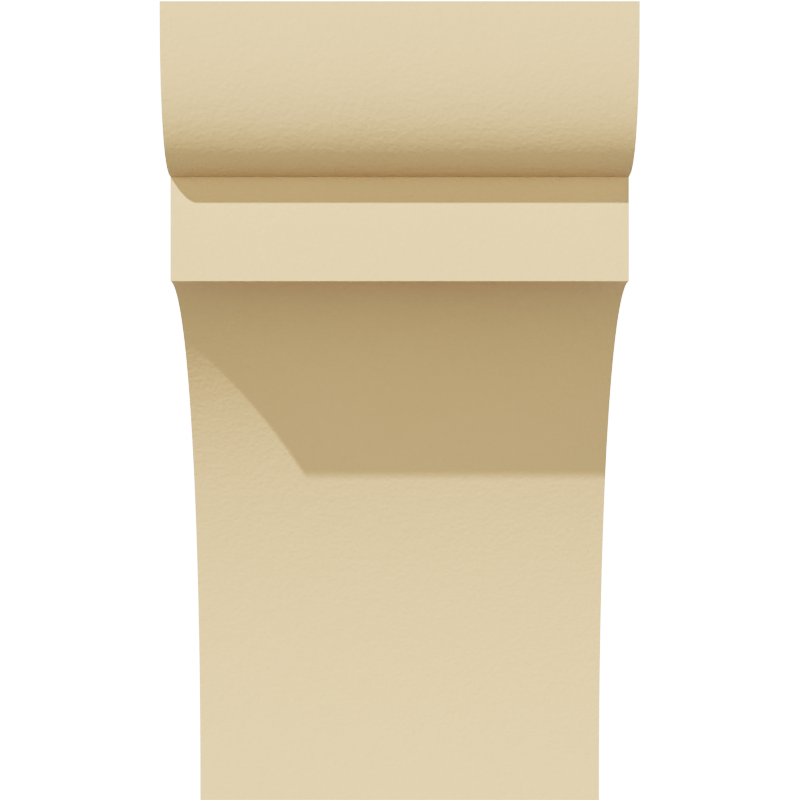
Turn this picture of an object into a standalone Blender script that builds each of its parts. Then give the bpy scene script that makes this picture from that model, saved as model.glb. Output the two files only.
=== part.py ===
"""Urethane corbel: a plain bracket moulded in one piece, fixed to a wall under a shelf, mantel or beam.

One profile runs straight across the width. From the top down it is a convex ovolo that turns level
underneath, a flat fascia and one long cove that ends in a thin foot. The back is flat and lies on the
wall.

Metres, +Z up. The origin is the middle of the back, the front looks towards -Y and X runs across.
"""

import math

import bpy

NAME = "urethane_corbel"

# Overall sizes: across the face, from bottom to top, and from the wall to the front of the ovolo
WIDTH = 0.1397
HEIGHT = 0.254
PROJECTION = 0.1524

# Heights: the ovolo, the fascia under it, the upright toe at the bottom
OVOLO_HEIGHT = 0.0476
FASCIA_HEIGHT = 0.03175
TOE_HEIGHT = 0.0045

# Depths: how far the ovolo stands out from the fascia, the foot from the wall
OVOLO_OVERHANG = 0.028
FOOT_THICKNESS = 0.03175

# How full the two curves are: 2 is a plain ellipse, and more is squarer
OVOLO_FULLNESS = 2.37
COVE_FULLNESS = 2.0

# The mould leaves each arris very slightly round
ARRIS_RADIUS = 0.0005
ARRIS_SEGMENTS = 2

# How finely the two curves are drawn
OVOLO_STEPS = 32
COVE_STEPS = 64

# Limits for the modifiers that close the ends and find the arrises
MERGE_DISTANCE = 0.00001
FLAT_ANGLE = math.radians(0.05)
SHARP_ANGLE = math.radians(30.0)

# Tan factory primer
PRIMER_COLOUR = (0.66, 0.51, 0.32, 1.0)
PRIMER_ROUGHNESS = 0.6


def clear_scene():
    """Remove whatever the file opened with."""
    for item in list(bpy.data.objects):
        bpy.data.objects.remove(item)


def quarter_curve(centre, semi_depth, semi_height, fullness, first_angle, last_angle, steps):
    """(y, z) points on a quarter of a full or plain ellipse, from one angle in degrees to another."""
    points = []
    for step in range(steps + 1):
        angle = math.radians(first_angle + (last_angle - first_angle) * step / steps)
        across = math.cos(angle)
        up = math.sin(angle)
        reach = (abs(across) ** fullness + abs(up) ** fullness) ** (-1 / fullness)
        points.append((centre[0] + semi_depth * across * reach, centre[1] + semi_height * up * reach))
    return points


def profile():
    """The corbel's outline as (y, z) points, from the top of the back, over the front, to the bottom."""
    top = HEIGHT / 2
    bottom = -HEIGHT / 2
    front = -PROJECTION
    fascia = front + OVOLO_OVERHANG
    foot = -FOOT_THICKNESS
    soffit = top - OVOLO_HEIGHT
    fascia_bottom = soffit - FASCIA_HEIGHT
    toe = bottom + TOE_HEIGHT

    outline = [(0.0, top)]
    # The ovolo bulges out: it starts upright at the top edge and ends level at the fascia, as a soffit
    outline += quarter_curve((fascia, top), fascia - front, OVOLO_HEIGHT, OVOLO_FULLNESS, 180, 270, OVOLO_STEPS)
    # The cove is hollow: it leaves the fascia's bottom edge level and comes down upright at the toe
    cove_height = fascia_bottom - toe
    outline += quarter_curve((fascia, toe), foot - fascia, cove_height, COVE_FULLNESS, 90, 0, COVE_STEPS)
    outline += [(foot, bottom), (0.0, bottom)]
    return outline


def profile_curve():
    """The outline as a filled flat curve, extruded both ways to the corbel's width."""
    curve = bpy.data.curves.new("corbel_body", "CURVE")
    curve.dimensions = "2D"
    curve.fill_mode = "BOTH"
    curve.extrude = WIDTH / 2
    outline = profile()
    spline = curve.splines.new("POLY")
    spline.points.add(len(outline) - 1)
    for point, (y, z) in zip(spline.points, outline):
        point.co = (y, z, 0.0, 1.0)
    spline.use_cyclic_u = True
    return curve


def soften_arrises(body):
    """Close the curve's loose ends, make each one flat face, and round the sharp edges."""
    weld = body.modifiers.new("close_ends", "WELD")
    weld.merge_threshold = MERGE_DISTANCE
    flatten = body.modifiers.new("flat_ends", "DECIMATE")
    flatten.decimate_type = "DISSOLVE"
    flatten.angle_limit = FLAT_ANGLE
    arris = body.modifiers.new("soft_arrises", "BEVEL")
    arris.width = ARRIS_RADIUS
    arris.segments = ARRIS_SEGMENTS
    arris.limit_method = "ANGLE"
    arris.angle_limit = SHARP_ANGLE


def primed_urethane():
    """Factory primed, closed-cell urethane: a matt tan."""
    material = bpy.data.materials.new("primed_urethane")
    material.use_nodes = True
    shader = material.node_tree.nodes["Principled BSDF"]
    shader.inputs["Base Color"].default_value = PRIMER_COLOUR
    shader.inputs["Roughness"].default_value = PRIMER_ROUGHNESS
    shader.inputs["Metallic"].default_value = 0.0
    return material


def corbel_body(collection):
    """The whole moulding. The curve's x and y become the corbel's Y and Z, and its extrusion runs along X."""
    curve = profile_curve()
    curve.materials.append(primed_urethane())
    body = bpy.data.objects.new("corbel_body", curve)
    body.rotation_euler = (math.radians(90.0), 0.0, math.radians(90.0))
    collection.objects.link(body)
    soften_arrises(body)


def main():
    clear_scene()
    collection = bpy.data.collections.new(NAME)
    bpy.context.scene.collection.children.link(collection)
    corbel_body(collection)


main()
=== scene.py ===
# %% [markdown]
# # A plain urethane corbel
# A corbel is a bracket that stands out from a wall and carries a shelf, a mantel or a beam. This one is
# moulded in one piece from dense urethane foam and comes with a tan factory primer. One profile runs
# straight across it: a full, round ovolo at the top, a flat fascia under it and one long hollow cove
# that comes down to a thin foot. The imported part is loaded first, because every size below follows it.

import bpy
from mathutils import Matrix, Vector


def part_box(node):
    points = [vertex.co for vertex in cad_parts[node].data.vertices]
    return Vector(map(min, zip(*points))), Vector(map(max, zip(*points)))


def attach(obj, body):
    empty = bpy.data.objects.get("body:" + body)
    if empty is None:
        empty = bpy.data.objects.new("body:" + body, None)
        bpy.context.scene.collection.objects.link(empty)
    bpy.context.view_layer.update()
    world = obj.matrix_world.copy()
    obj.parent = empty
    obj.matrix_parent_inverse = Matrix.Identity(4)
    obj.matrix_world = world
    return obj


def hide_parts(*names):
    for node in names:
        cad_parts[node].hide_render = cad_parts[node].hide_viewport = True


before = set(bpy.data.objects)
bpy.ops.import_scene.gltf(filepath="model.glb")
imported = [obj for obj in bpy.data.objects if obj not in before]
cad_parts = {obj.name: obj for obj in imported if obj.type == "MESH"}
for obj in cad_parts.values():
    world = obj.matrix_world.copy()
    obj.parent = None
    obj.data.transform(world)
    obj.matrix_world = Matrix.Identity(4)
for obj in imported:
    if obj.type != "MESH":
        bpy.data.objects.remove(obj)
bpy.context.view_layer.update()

# %% Blender's modules
import math

import bmesh
import bpy
from mathutils import Matrix, Vector

# %% [markdown]
# ## Sizes
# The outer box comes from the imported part, so the moulding can never be larger than its solid. The
# heights and depths inside the box are the profile's own sizes, in metres, the same as in the solid.
# The back of the corbel lies on the wall at y = 0, the front looks along -Y, and z = 0 is halfway up.

# %% The box and the profile's levels
box_low, box_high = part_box("corbel_body")
half_width = box_high[0]
front = box_low[1]
back = box_high[1]
top = box_high[2]
bottom = box_low[2]

OVOLO_HEIGHT = 0.0476
FASCIA_HEIGHT = 0.03175
TOE_HEIGHT = 0.0045
OVOLO_OVERHANG = 0.028
FOOT_THICKNESS = 0.03175

fascia = front + OVOLO_OVERHANG
foot = back - FOOT_THICKNESS
soffit = top - OVOLO_HEIGHT
fascia_bottom = soffit - FASCIA_HEIGHT
toe = bottom + TOE_HEIGHT
print("width and height", round(2 * half_width, 4), round(top - bottom, 4))
print("projection", round(back - front, 4))

# %% [markdown]
# ## The outline
# Seen from the side, the corbel is a flat shape between the wall and the front. The real mould was cut
# from the same outline. It could be drawn point by point, but the two curves are quarters of an
# ellipse, and a tool can make those: one vertex is spun a quarter turn, which leaves a string of
# vertices on a quarter circle, and each is then moved out from the centre to the curve that is wanted.
# The straight stretches are single vertices extruded into edges. So the outline needs no list of points.

# %% Two helpers that draw on from a vertex
def draw_straight(mesh, vert, depth, rise):
    """Extrude a vertex into a straight edge and return the new end."""
    drawn = bmesh.ops.extrude_vert_indiv(mesh, verts=[vert])
    end = drawn["verts"][0]
    bmesh.ops.translate(mesh, verts=[end], vec=(0.0, depth, rise))
    return end


def draw_quarter(mesh, vert, centre, turn, steps, deepen, heighten, fullness):
    """Spin a vertex a quarter turn about a line along X, shape the arc and return its end."""
    middle = Vector(centre)
    radius = (vert.co - middle).length
    earlier = set(mesh.verts)
    spun = bmesh.ops.spin(
        mesh, geom=[vert], cent=centre, axis=(1.0, 0.0, 0.0), angle=turn, steps=steps, use_merge=False
    )
    arc = [new for new in mesh.verts if new not in earlier]
    for point in arc:
        across = abs(point.co.y - middle.y) / radius
        up = abs(point.co.z - middle.z) / radius
        reach = (across ** fullness + up ** fullness) ** (-1 / fullness)
        stretch = (1.0, deepen * reach, heighten * reach)
        bmesh.ops.scale(mesh, verts=[point], vec=stretch, space=Matrix.Translation(-middle))
    return [item for item in spun["geom_last"] if isinstance(item, bmesh.types.BMVert)][0]


# %% [markdown]
# The fullness says how square a curve is. At 2 it is a plain ellipse, as in the cove. The ovolo is a
# little fuller: it starts upright at the top edge, keeps its front well forward and turns level under
# itself, where it meets the fascia. That is why its lower part falls into shade so suddenly.

# %% Draw the outline on the left flank
OVOLO_STEPS = 60
COVE_STEPS = 200
OVOLO_FULLNESS = 2.37
COVE_FULLNESS = 2.0

outline = bmesh.new()
top_front = outline.verts.new((-half_width, front, top))

# The ovolo: a quarter circle as deep as the overhang, stretched in height
fascia_point = draw_quarter(
    outline, top_front, (-half_width, fascia, top), math.radians(90), OVOLO_STEPS,
    1.0, OVOLO_HEIGHT / OVOLO_OVERHANG, OVOLO_FULLNESS
)
cove_point = draw_straight(outline, fascia_point, 0.0, -FASCIA_HEIGHT)

# The cove: a quarter circle as high as the hollow, squeezed in depth
cove_height = fascia_bottom - toe
toe_point = draw_quarter(
    outline, cove_point, (-half_width, fascia, toe), math.radians(-90), COVE_STEPS,
    (foot - fascia) / cove_height, 1.0, COVE_FULLNESS
)

# The foot, back along the bottom, and back along the top
foot_point = draw_straight(outline, toe_point, 0.0, -TOE_HEIGHT)
low_back = draw_straight(outline, foot_point, FOOT_THICKNESS, 0.0)
top_back = draw_straight(outline, top_front, back - front, 0.0)
bmesh.ops.contextual_create(outline, geom=[top_back, low_back])
print("outline:", len(outline.verts), "vertices,", len(outline.edges), "edges")

# %% [markdown]
# ## From outline to solid
# The outline gets more vertices on its straight stretches, so that the skin is an even net of small
# faces everywhere. Then it is filled with one face and extruded across the width. This follows the
# real thing, whose section is the same all the way across.

# %% Even steps on the straight stretches
NET = 0.0009
COARSE_NET = 0.0025


def divide(mesh, edges, spacing):
    """Cut each of these edges into equal pieces of about the spacing."""
    for edge in edges:
        cuts = round(edge.calc_length() / spacing) - 1
        if cuts > 0:
            bmesh.ops.subdivide_edges(mesh, edges=[edge], cuts=cuts)


curve_step = 2 * NET
straights = [edge for edge in outline.edges if edge.calc_length() > curve_step]
on_front = [edge for edge in straights if max(vert.co.y for vert in edge.verts) < foot + NET]
behind = [edge for edge in straights if edge not in on_front]
divide(outline, on_front, NET)
divide(outline, behind, COARSE_NET)
print("outline with even steps:", len(outline.verts), "vertices")

# %% Fill it and extrude it across
bmesh.ops.edgeloop_fill(outline, edges=outline.edges)
across = bmesh.ops.extrude_face_region(outline, geom=outline.faces[:])
moved = [item for item in across["geom"] if isinstance(item, bmesh.types.BMVert)]
bmesh.ops.translate(outline, verts=moved, vec=(2 * half_width, 0.0, 0.0))
bmesh.ops.recalc_face_normals(outline, faces=outline.faces)
print("solid:", len(outline.faces), "faces, volume in litres", round(outline.calc_volume() * 1000, 3))

# %% [markdown]
# ## Arrises
# An arris is the sharp edge where two faces meet. A mould never fills a perfectly sharp one, and primer
# rounds it a little more, so every outward edge gets a small round. Only the edges that stick out are
# bevelled. The inner corner under the ovolo stays sharp, and it shows as a thin dark line.

# %% Round the outward edges
ARRIS_RADIUS = 0.0001
ARRIS_SEGMENTS = 2
ARRIS_ANGLE = math.radians(30)

outline.normal_update()
arrises = [
    edge for edge in outline.edges
    if edge.is_manifold and edge.is_convex and edge.calc_face_angle() > ARRIS_ANGLE
]
bmesh.ops.bevel(
    outline, geom=arrises, offset=ARRIS_RADIUS, offset_type="OFFSET", affect="EDGES",
    segments=ARRIS_SEGMENTS, profile=0.5, material=-1
)
print("arrises rounded:", len(arrises))

# %% [markdown]
# ## A net on the flanks and across the width
# The two flanks are still one large face each. Level and upright cuts through them give the same kind
# of net as on the front. They are spaced as the back and the top are divided, and a cut that passes very
# close to a vertex of the outline uses that vertex, so that no splinters arise. Last, the long edges are
# divided, which makes columns across the width.

# %% Rule the flanks
SNAP = 0.0003

# A face looks along an axis when its normal has at least this share of it
FACING = 0.99


def rule_flanks(mesh, place, normal):
    """Cut the flank faces with one plane."""
    flank = [face for face in mesh.faces if abs(face.normal.x) > FACING]
    # Keys of a dictionary drop the repeats and keep the order, so every run cuts alike
    edges = list(dict.fromkeys(edge for face in flank for edge in face.edges))
    verts = list(dict.fromkeys(vert for face in flank for vert in face.verts))
    bmesh.ops.bisect_plane(mesh, geom=flank + edges + verts, dist=SNAP, plane_co=place, plane_no=normal)


levels = round((top - bottom) / COARSE_NET)
for level in range(1, levels):
    height = bottom + (top - bottom) * level / levels
    rule_flanks(outline, (0.0, 0.0, height), (0.0, 0.0, 1.0))
uprights = round((back - front) / COARSE_NET)
for upright in range(1, uprights):
    depth = back - (back - front) * upright / uprights
    rule_flanks(outline, (0.0, depth, 0.0), (0.0, 1.0, 0.0))
print("flanks ruled:", len(outline.faces), "faces")

# %% Divide the long edges into columns
columns = round(2 * half_width / NET)
long_edges = [edge for edge in outline.edges if edge.calc_length() > half_width]
bmesh.ops.subdivide_edges(outline, edges=long_edges, cuts=columns - 1, use_grid_fill=True)
print("columns:", columns, "faces:", len(outline.faces))

# %% [markdown]
# ## The finished mesh
# The bmesh becomes an ordinary mesh object. It stays at the origin, unturned, with its place in its
# vertices. The faces are shaded smooth, and the edges between unlike faces are marked sharp, so that
# the flats stay flat right up to their arrises.

# %% Make the object
SHARP_ANGLE = math.radians(15)


def finish_mesh(name, mesh):
    """Turn a bmesh into an object in the scene's collection."""
    data = bpy.data.meshes.new(name)
    mesh.to_mesh(data)
    mesh.free()
    data.shade_smooth()
    data.set_sharp_from_angle(angle=SHARP_ANGLE)
    piece = bpy.data.objects.new(name, data)
    bpy.context.scene.collection.objects.link(piece)
    return piece


corbel = finish_mesh("corbel_moulding", outline)
print(corbel.name, len(corbel.data.vertices), "vertices,", len(corbel.data.polygons), "faces")

# %% [markdown]
# ## Materials
# The corbel has one finish, a matt tan primer, over two kinds of surface. What lay in the mould has a
# close skin with a very fine stipple, seen only where the light grazes it. The back was the open side
# of the mould and was struck off flat, so it has fine scrape marks and pores. The two share their
# colour and their slight cloudiness, and that part is a node group used in both materials.

# %% Small helpers for nodes
def add_node(tree, kind, **settings):
    """Add a node and set its properties."""
    node = tree.nodes.new(kind)
    for name, value in settings.items():
        setattr(node, name, value)
    return node


def new_group(name, inputs, outputs):
    """Make an empty shader node group with its sockets, and return it with its two end nodes."""
    group = bpy.data.node_groups.new(name, "ShaderNodeTree")
    for label, kind, value in inputs:
        socket = group.interface.new_socket(label, in_out="INPUT", socket_type=kind)
        if value is not None:
            socket.default_value = value
    for label, kind in outputs:
        group.interface.new_socket(label, in_out="OUTPUT", socket_type=kind)
    start = group.nodes.new("NodeGroupInput")
    end = group.nodes.new("NodeGroupOutput")
    return group, start, end


# %% The primer's cloudiness, shared by both materials
def primer_tone_group():
    """A colour that drifts very slightly between a thin and a full coat."""
    group, start, end = new_group(
        "primer_tone",
        [
            ("Vector", "NodeSocketVector", None),
            ("Full Coat", "NodeSocketColor", (0.60, 0.50, 0.36, 1.0)),
            ("Thin Coat", "NodeSocketColor", (0.59, 0.49, 0.35, 1.0)),
            ("Patch Scale", "NodeSocketFloat", 25.0),
        ],
        [("Color", "NodeSocketColor"), ("Thinness", "NodeSocketFloat")],
    )
    patches = add_node(group, "ShaderNodeTexNoise")
    patches.inputs["Detail"].default_value = 4.0
    patches.inputs["Roughness"].default_value = 0.6
    mix = add_node(group, "ShaderNodeMix", data_type="RGBA")
    group.links.new(start.outputs["Vector"], patches.inputs["Vector"])
    group.links.new(start.outputs["Patch Scale"], patches.inputs["Scale"])
    group.links.new(patches.outputs["Fac"], mix.inputs["Factor"])
    group.links.new(start.outputs["Full Coat"], mix.inputs["A"])
    group.links.new(start.outputs["Thin Coat"], mix.inputs["B"])
    group.links.new(mix.outputs["Result"], end.inputs["Color"])
    group.links.new(patches.outputs["Fac"], end.inputs["Thinness"])
    return group


# %% The stipple of the moulded skin
def stipple_group():
    """Height of a fine stipple: rounded grains with a slower swell under them."""
    group, start, end = new_group(
        "skin_stipple",
        [
            ("Vector", "NodeSocketVector", None),
            ("Grain Scale", "NodeSocketFloat", 700.0),
            ("Swell Scale", "NodeSocketFloat", 220.0),
            ("Swell Share", "NodeSocketFloat", 0.5),
        ],
        [("Height", "NodeSocketFloat")],
    )
    grain = add_node(group, "ShaderNodeTexNoise")
    grain.inputs["Detail"].default_value = 2.0
    grain.inputs["Roughness"].default_value = 0.5
    swell = add_node(group, "ShaderNodeTexNoise")
    swell.inputs["Detail"].default_value = 1.0
    join = add_node(group, "ShaderNodeMath", operation="MULTIPLY_ADD")
    group.links.new(start.outputs["Vector"], grain.inputs["Vector"])
    group.links.new(start.outputs["Vector"], swell.inputs["Vector"])
    group.links.new(start.outputs["Grain Scale"], grain.inputs["Scale"])
    group.links.new(start.outputs["Swell Scale"], swell.inputs["Scale"])
    group.links.new(swell.outputs["Fac"], join.inputs[0])
    group.links.new(start.outputs["Swell Share"], join.inputs[1])
    group.links.new(grain.outputs["Fac"], join.inputs[2])
    group.links.new(join.outputs["Value"], end.inputs["Height"])
    return group


primer_tone = primer_tone_group()
skin_stipple = stipple_group()
print("node groups:", primer_tone.name, skin_stipple.name)

# %% The marks of a struck-off face
def struck_group():
    """Height of long scrape marks with small open pores between them, and a mask of the pores."""
    group, start, end = new_group(
        "struck_face",
        [
            ("Vector", "NodeSocketVector", None),
            ("Pore Scale", "NodeSocketFloat", 400.0),
            ("Pore Share", "NodeSocketFloat", 0.2),
            ("Pore Height", "NodeSocketFloat", -2.0),
        ],
        [("Height", "NodeSocketFloat"), ("Pores", "NodeSocketFloat")],
    )
    # Noise squeezed across and stretched upwards makes streaks as long as the blade's stroke
    stroke = add_node(group, "ShaderNodeMapping")
    stroke.inputs["Scale"].default_value = (700.0, 1.0, 12.0)
    scrapes = add_node(group, "ShaderNodeTexNoise")
    scrapes.inputs["Scale"].default_value = 1.0
    scrapes.inputs["Detail"].default_value = 3.0
    group.links.new(start.outputs["Vector"], stroke.inputs["Vector"])
    group.links.new(stroke.outputs["Vector"], scrapes.inputs["Vector"])
    # Each cell has a random colour, and only the cells whose red is low enough hold a pore
    cells = add_node(group, "ShaderNodeTexVoronoi")
    group.links.new(start.outputs["Vector"], cells.inputs["Vector"])
    group.links.new(start.outputs["Pore Scale"], cells.inputs["Scale"])
    chance = add_node(group, "ShaderNodeSeparateColor")
    group.links.new(cells.outputs["Color"], chance.inputs["Color"])
    open_cell = add_node(group, "ShaderNodeMath", operation="LESS_THAN")
    group.links.new(chance.outputs["Red"], open_cell.inputs[0])
    group.links.new(start.outputs["Pore Share"], open_cell.inputs[1])
    rim = add_node(group, "ShaderNodeMapRange", interpolation_type="SMOOTHSTEP")
    rim.inputs["From Min"].default_value = 0.12
    rim.inputs["From Max"].default_value = 0.28
    rim.inputs["To Min"].default_value = 1.0
    rim.inputs["To Max"].default_value = 0.0
    group.links.new(cells.outputs["Distance"], rim.inputs["Value"])
    pores = add_node(group, "ShaderNodeMath", operation="MULTIPLY")
    group.links.new(rim.outputs["Result"], pores.inputs[0])
    group.links.new(open_cell.outputs["Value"], pores.inputs[1])
    height = add_node(group, "ShaderNodeMath", operation="MULTIPLY_ADD")
    group.links.new(pores.outputs["Value"], height.inputs[0])
    group.links.new(start.outputs["Pore Height"], height.inputs[1])
    group.links.new(scrapes.outputs["Fac"], height.inputs[2])
    group.links.new(height.outputs["Value"], end.inputs["Height"])
    group.links.new(pores.outputs["Value"], end.inputs["Pores"])
    return group


struck_face = struck_group()
print("node group:", struck_face.name)

# %% [markdown]
# ## The two finishes
# Each material feeds the groups into its own Principled shader. Where the coat is thin, the primer is
# also a little rougher. The stipple and the scrape marks are far too fine for the mesh, so they are
# bumps, with their real depth in metres. The faces that look back to the wall get the second material.

# %% The moulded skin
STIPPLE_DEPTH = 0.000155


def new_material(name):
    """A material with its Principled shader, and the piece's own coordinates."""
    material = bpy.data.materials.new(name)
    material.use_nodes = True
    tree = material.node_tree
    shader = tree.nodes["Principled BSDF"]
    place = add_node(tree, "ShaderNodeTexCoord")
    return material, tree, shader, place.outputs["Object"]


def add_bump(tree, shader, height, depth):
    """Turn a height into the shader's normal. The depth is in metres."""
    bump = add_node(tree, "ShaderNodeBump")
    bump.inputs["Strength"].default_value = 1.0
    bump.inputs["Distance"].default_value = depth
    tree.links.new(height, bump.inputs["Height"])
    tree.links.new(bump.outputs["Normal"], shader.inputs["Normal"])


def add_roughness(tree, shader, thinness, full, thin):
    """Let the roughness follow the coat."""
    follow = add_node(tree, "ShaderNodeMapRange")
    follow.inputs["From Min"].default_value = 0.3
    follow.inputs["From Max"].default_value = 0.7
    follow.inputs["To Min"].default_value = full
    follow.inputs["To Max"].default_value = thin
    tree.links.new(thinness, follow.inputs["Value"])
    tree.links.new(follow.outputs["Result"], shader.inputs["Roughness"])


def primed_skin():
    """Tan primer over the fine skin that the mould leaves."""
    material, tree, shader, place = new_material("primed_skin")
    tone = add_node(tree, "ShaderNodeGroup", node_tree=primer_tone)
    stipple = add_node(tree, "ShaderNodeGroup", node_tree=skin_stipple)
    tree.links.new(place, tone.inputs["Vector"])
    tree.links.new(place, stipple.inputs["Vector"])
    tree.links.new(tone.outputs["Color"], shader.inputs["Base Color"])
    add_roughness(tree, shader, tone.outputs["Thinness"], 0.66, 0.74)
    add_bump(tree, shader, stipple.outputs["Height"], STIPPLE_DEPTH)
    return material


skin = primed_skin()
corbel.data.materials.append(skin)
print("front, flanks, top and bottom:", skin.name)

# %% The struck-off back
SCRAPE_DEPTH = 0.00012
BARE_FOAM = (0.66, 0.60, 0.48, 1.0)


def struck_back():
    """The same primer sprayed thinly over the flat back, with scrape marks and pores of bare foam."""
    material, tree, shader, place = new_material("struck_back")
    tone = add_node(tree, "ShaderNodeGroup", node_tree=primer_tone)
    tone.inputs["Thin Coat"].default_value = (0.62, 0.55, 0.41, 1.0)
    tone.inputs["Patch Scale"].default_value = 16.0
    marks = add_node(tree, "ShaderNodeGroup", node_tree=struck_face)
    tree.links.new(place, tone.inputs["Vector"])
    tree.links.new(place, marks.inputs["Vector"])
    bare = add_node(tree, "ShaderNodeMix", data_type="RGBA")
    bare.inputs["B"].default_value = BARE_FOAM
    tree.links.new(marks.outputs["Pores"], bare.inputs["Factor"])
    tree.links.new(tone.outputs["Color"], bare.inputs["A"])
    tree.links.new(bare.outputs["Result"], shader.inputs["Base Color"])
    add_roughness(tree, shader, tone.outputs["Thinness"], 0.74, 0.84)
    add_bump(tree, shader, marks.outputs["Height"], SCRAPE_DEPTH)
    return material


corbel.data.materials.append(struck_back())
struck_off = [polygon for polygon in corbel.data.polygons if polygon.normal.y > FACING]
for polygon in struck_off:
    polygon.material_index = 1
print("faces with the struck-off finish:", len(struck_off))

# %% [markdown]
# ## Camera
# The photograph is taken square from the front, with a long lens, and level with the middle of the
# corbel's height. The upright edges stay upright in it, so the camera isn't tilted. The top is nearer
# than the foot and looks larger, and a small lens shift brings both into the frame.

# %% Place the camera
PICTURE = 800
SENSOR = 36.0
FOCAL = 2032.0
HORIZON = 437.0
CENTRE_LINE = 399.66
CAMERA_DISTANCE = 0.5907
CAMERA_RISE = 0.00022

camera_data = bpy.data.cameras.new("camera")
camera_data.sensor_width = SENSOR
camera_data.lens = FOCAL * SENSOR / PICTURE
camera_data.shift_y = (HORIZON - PICTURE / 2) / PICTURE
camera_data.shift_x = (PICTURE / 2 - CENTRE_LINE) / PICTURE
camera_data.clip_start = 0.01
camera = bpy.data.objects.new("camera", camera_data)
camera.location = (0.0, front - CAMERA_DISTANCE, CAMERA_RISE)
camera.rotation_euler = (math.radians(90), 0.0, 0.0)
bpy.context.scene.collection.objects.link(camera)
bpy.context.scene.camera = camera
print("lens", round(camera_data.lens, 2), "mm")

# %% [markdown]
# ## Light
# One hard key light stands high on the left, and the edges above throw sharp shadows across the fascia
# and the cove. The shadows stay parallel, so the lamp is far off: a sun lamp, whose light has only a
# direction and an angle that says how soft the shadow edges are. A second, broader lamp shines down from
# behind. It reaches the top and the back only, so it shows in views from above and leaves the front
# alone. The lamps and the soft light round them share one tint, slightly warm.

# %% The two lamps
KEY_DIRECTION = Vector((0.533, 1.0, -0.855))
KEY_ANGLE = math.radians(1.0)
KEY_CARD = 0.363
TOP_DIRECTION = Vector((0.0, -0.2, -1.0))
TOP_ANGLE = math.radians(6)
TOP_CARD = 0.19
LIGHT_TINT = (1.0, 0.97, 0.94)


def add_lamp(name, direction, angle, card):
    """A distant lamp. The card says how bright a white card square to it would be."""
    lamp = bpy.data.lights.new(name, "SUN")
    lamp.energy = math.pi * card
    lamp.color = LIGHT_TINT
    lamp.angle = angle
    holder = bpy.data.objects.new(name, lamp)
    holder.rotation_euler = direction.to_track_quat("-Z", "Y").to_euler()
    bpy.context.scene.collection.objects.link(holder)
    print(name, "lamp:", round(lamp.energy, 2), "W per square metre")


add_lamp("key", KEY_DIRECTION, KEY_ANGLE, KEY_CARD)
add_lamp("top", TOP_DIRECTION, TOP_ANGLE, TOP_CARD)

# %% [markdown]
# The rest of the light is soft and comes from all round, most of it from just below the horizon, where a
# pale studio floor would be. Straight above and straight below it is dim, and that keeps the soffit and
# the top of the cove dark. The world gives this light with a colour ramp over height. To the camera the
# same world is plain white, like the paper behind a catalogue picture.

# %% The surroundings
RING = [(-0.95, 0.033), (-0.4, 0.583), (-0.1, 0.803), (0.1, 0.512), (0.6, 0.0)]


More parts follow.
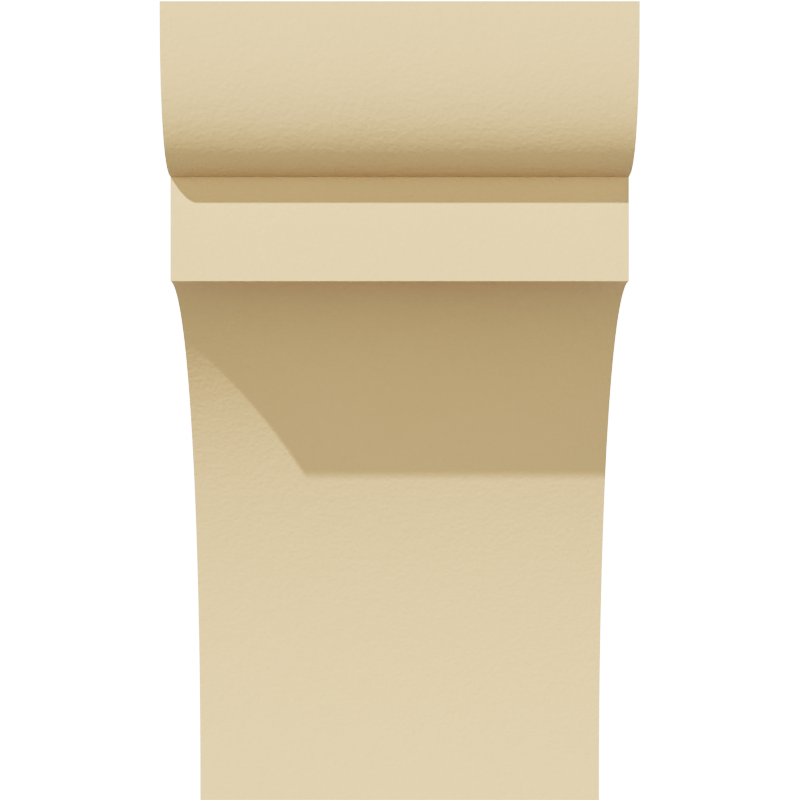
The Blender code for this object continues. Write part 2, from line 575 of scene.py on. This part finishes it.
def build_world():
    """White to the camera, and to the piece a soft ring of light round the horizon."""
    world = bpy.data.worlds.new("studio")
    world.use_nodes = True
    tree = world.node_tree
    light = tree.nodes["Background"]
    place = add_node(tree, "ShaderNodeTexCoord")
    parts = add_node(tree, "ShaderNodeSeparateXYZ")
    tree.links.new(place.outputs["Generated"], parts.inputs["Vector"])
    height = add_node(tree, "ShaderNodeMapRange")
    height.inputs["From Min"].default_value = -1.0
    tree.links.new(parts.outputs["Z"], height.inputs["Value"])
    ramp = add_node(tree, "ShaderNodeValToRGB")
    stops = ramp.color_ramp.elements
    while len(stops) < len(RING):
        stops.new(0.5)
    for stop, (level, strength) in zip(stops, RING):
        stop.position = (level + 1) / 2
        stop.color = [strength * part for part in LIGHT_TINT] + [1.0]
    tree.links.new(height.outputs["Result"], ramp.inputs["Fac"])
    tree.links.new(ramp.outputs["Color"], light.inputs["Color"])
    white = add_node(tree, "ShaderNodeBackground")
    white.inputs["Color"].default_value = (1.0, 1.0, 1.0, 1.0)
    path = add_node(tree, "ShaderNodeLightPath")
    choose = add_node(tree, "ShaderNodeMixShader")
    tree.links.new(path.outputs["Is Camera Ray"], choose.inputs["Fac"])
    tree.links.new(light.outputs["Background"], choose.inputs[1])
    tree.links.new(white.outputs["Background"], choose.inputs[2])
    tree.links.new(choose.outputs["Shader"], tree.nodes["World Output"].inputs["Surface"])
    return world


bpy.context.scene.world = build_world()

# %% [markdown]
# ## Tone
# A catalogue picture is brightened after it is taken: the shadows stay deep, the middle tones are lifted
# and the bright parts roll off softly below white. A curve in the view settings does the same here.

# %% The tone curve
TONES = [(0.06, 0.037), (0.12, 0.145), (0.20, 0.38), (0.30, 0.62), (0.42, 0.79), (0.56, 0.88), (0.75, 0.96)]

view = bpy.context.scene.view_settings
view.view_transform = "Standard"
view.use_curve_mapping = True
# The fourth curve acts on all three colours together
tone_curve = view.curve_mapping.curves[3]
for shade, tone in TONES:
    tone_curve.points.new(shade, tone)
view.curve_mapping.update()
print("tone curve:", len(tone_curve.points), "points")

# %% [markdown]
# ## Floor
# A corbel hangs on a wall, so nothing stands on the floor. It is a pale disc well below the piece and
# out of the camera's view, and it is there so that other views show where down is.

# %% Lay the floor
FLOOR_RADIUS = 1.5
FLOOR_SIDES = 96
FLOOR_DROP = 0.6
FLOOR_TONE = 0.42

disc = bmesh.new()
bmesh.ops.create_circle(disc, cap_ends=True, segments=FLOOR_SIDES, radius=FLOOR_RADIUS)
bmesh.ops.translate(disc, verts=disc.verts, vec=(0.0, 0.0, -FLOOR_DROP))
floor = finish_mesh("floor", disc)

# It shines by itself and neither lights nor shades the piece, so the photograph's light stays as it is
floor.visible_diffuse = False
floor.visible_shadow = False
floor_material, _, floor_shader, _ = new_material("pale_floor")
floor_shader.inputs["Base Color"].default_value = (0.0, 0.0, 0.0, 1.0)
floor_shader.inputs["Specular IOR Level"].default_value = 0.0
floor_shader.inputs["Emission Color"].default_value = (1.0, 1.0, 1.0, 1.0)
floor_shader.inputs["Emission Strength"].default_value = FLOOR_TONE
floor.data.materials.append(floor_material)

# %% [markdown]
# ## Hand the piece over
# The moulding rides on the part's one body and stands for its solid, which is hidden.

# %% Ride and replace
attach(corbel, "root")
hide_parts("corbel_body")
